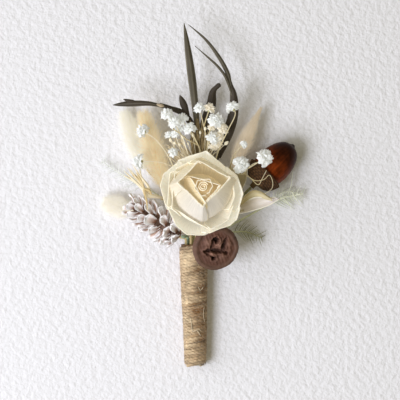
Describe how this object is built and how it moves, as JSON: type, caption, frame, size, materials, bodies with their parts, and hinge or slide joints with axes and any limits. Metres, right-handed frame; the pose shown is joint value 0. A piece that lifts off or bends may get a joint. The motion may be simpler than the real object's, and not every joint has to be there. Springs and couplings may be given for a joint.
{
  "type": "boutonniere",
  "caption": "Rustic boutonniere of a cream wooden rose, gumnut, acorn, cone, grasses and dried leaves, its stems bound in a tapered twine handle.",
  "frame": {"origin": "on the flat back of the twine handle, on its centre line, straight below the place where the stems leave the twine", "axes": "+Y runs along the stems from the handle to the leaf tips, +Z is the side worn outwards, and -Z is the flat back that lies on the surface"},
  "size_m": [0.0881, 0.1442, 0.0327],
  "materials": {
    "twine": "hairy natural jute twine, matte tan",
    "wood_petal": "thin fibrous cream petals, matte, paler at their rims",
    "dry_stem": "dry straw-coloured stem",
    "seed_pod": "matte purplish brown woody capsule",
    "acorn_shell": "glossy chestnut-brown shell",
    "acorn_cup": "rough brown scales",
    "cone_scale": "woody brown scales, whitewashed at their tips",
    "floral_tape": "green waxed floral tape",
    "bunny_tail": "soft cream grass hair",
    "dark_leaf": "dried olive-brown leaf, matte",
    "babys_breath": "papery blue-white blooms on straw twigs",
    "cream_leaf": "thin cream leaf, golden inside",
    "straw_leaf": "dry yellow straw blade",
    "pale_fern": "pale grey-green dried needles"
  },
  "bodies": {
    "root": {"twine_wrap": "twine", "sola_rose": "wood_petal", "rose_stem": "dry_stem", "eucalyptus_pod": "seed_pod", "pod_stem": "dry_stem", "acorn_nut": "acorn_shell", "acorn_cap": "acorn_cup", "acorn_wire": "floral_tape", "pine_cone": "cone_scale", "cone_wire": "floral_tape", "bunny_tail_tall": "bunny_tail", "bunny_tail_pale": "bunny_tail", "bunny_tail_low": "bunny_tail", "bunny_tail_right": "bunny_tail", "dark_leaf_left": "dark_leaf", "dark_leaf_right": "dark_leaf", "babys_breath_left": "babys_breath", "babys_breath_middle": "babys_breath", "babys_breath_right": "babys_breath", "cream_leaf_right": "cream_leaf", "cream_leaf_back": "cream_leaf", "straw_leaf_left": "straw_leaf", "fern_right": "pale_fern", "fern_low": "pale_fern", "fern_left": "pale_fern"}
  },
  "joints": []
}
